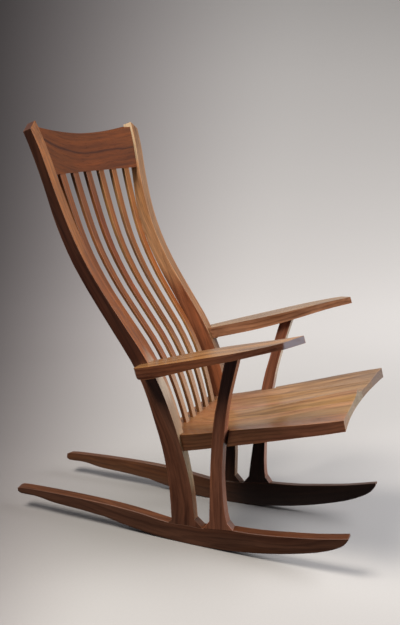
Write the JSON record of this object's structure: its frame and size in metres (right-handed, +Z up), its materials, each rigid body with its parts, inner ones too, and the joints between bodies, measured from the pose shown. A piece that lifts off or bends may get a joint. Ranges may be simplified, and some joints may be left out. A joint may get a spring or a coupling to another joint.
{
  "type": "rocking chair",
  "caption": "Wooden rocking chair with splayed bent side frames, paddle arms, a dished solid seat and a tall back of slender slats under a bowed crest rail.",
  "frame": {"origin": "on the floor, at the centre of the bounding box's underside, between the two rockers", "axes": "+Z up; -Y is the way the chair faces, so the sitter looks along -Y; +X is the sitter's left; X = 0 is the plane of symmetry"},
  "size_m": [0.6022, 0.975, 1.1],
  "materials": {
    "frame_walnut": "oiled dark walnut, satin",
    "post_walnut": "oiled walnut with pale sapwood along the front, satin",
    "arm_walnut": "oiled walnut, satin",
    "crest_walnut": "oiled walnut, satin",
    "slat_walnut": "oiled walnut, satin",
    "seat_walnut_1": "oiled walnut board, grain front to back, satin",
    "seat_walnut_2": "oiled walnut board, grain front to back, satin",
    "seat_walnut_3": "oiled walnut board, grain front to back, satin",
    "seat_walnut_4": "oiled walnut board, grain front to back, satin",
    "seat_walnut_5": "oiled walnut board, grain front to back, satin",
    "tenon_wood": "plain wood, unfinished, hidden inside the joints"
  },
  "bodies": {
    "root": {"rocker_right": "frame_walnut", "rocker_left": "frame_walnut", "front_leg_right": "frame_walnut", "front_leg_left": "frame_walnut", "back_post_right": "post_walnut", "back_post_left": "post_walnut", "arm_right": "arm_walnut", "arm_left": "arm_walnut", "seat_board_1": "seat_walnut_1", "seat_board_2": "seat_walnut_2", "seat_board_3": "seat_walnut_3", "seat_board_4": "seat_walnut_4", "seat_board_5": "seat_walnut_5", "crest_rail": "crest_walnut", "back_slat_1": "slat_walnut", "back_slat_2": "slat_walnut", "back_slat_3": "slat_walnut", "back_slat_4": "slat_walnut", "back_slat_5": "slat_walnut", "back_slat_6": "slat_walnut", "front_foot_tenon_right": "tenon_wood", "front_foot_tenon_left": "tenon_wood", "rear_foot_tenon_right": "tenon_wood", "rear_foot_tenon_left": "tenon_wood", "leg_to_arm_tenon_right": "tenon_wood", "leg_to_arm_tenon_left": "tenon_wood", "arm_to_post_tenon_right": "tenon_wood", "arm_to_post_tenon_left": "tenon_wood", "seat_to_leg_tenon_right": "tenon_wood", "seat_to_leg_tenon_left": "tenon_wood", "seat_to_post_tenon_right": "tenon_wood", "seat_to_post_tenon_left": "tenon_wood", "crest_tenon_right": "tenon_wood", "crest_tenon_left": "tenon_wood"}
  },
  "joints": []
}
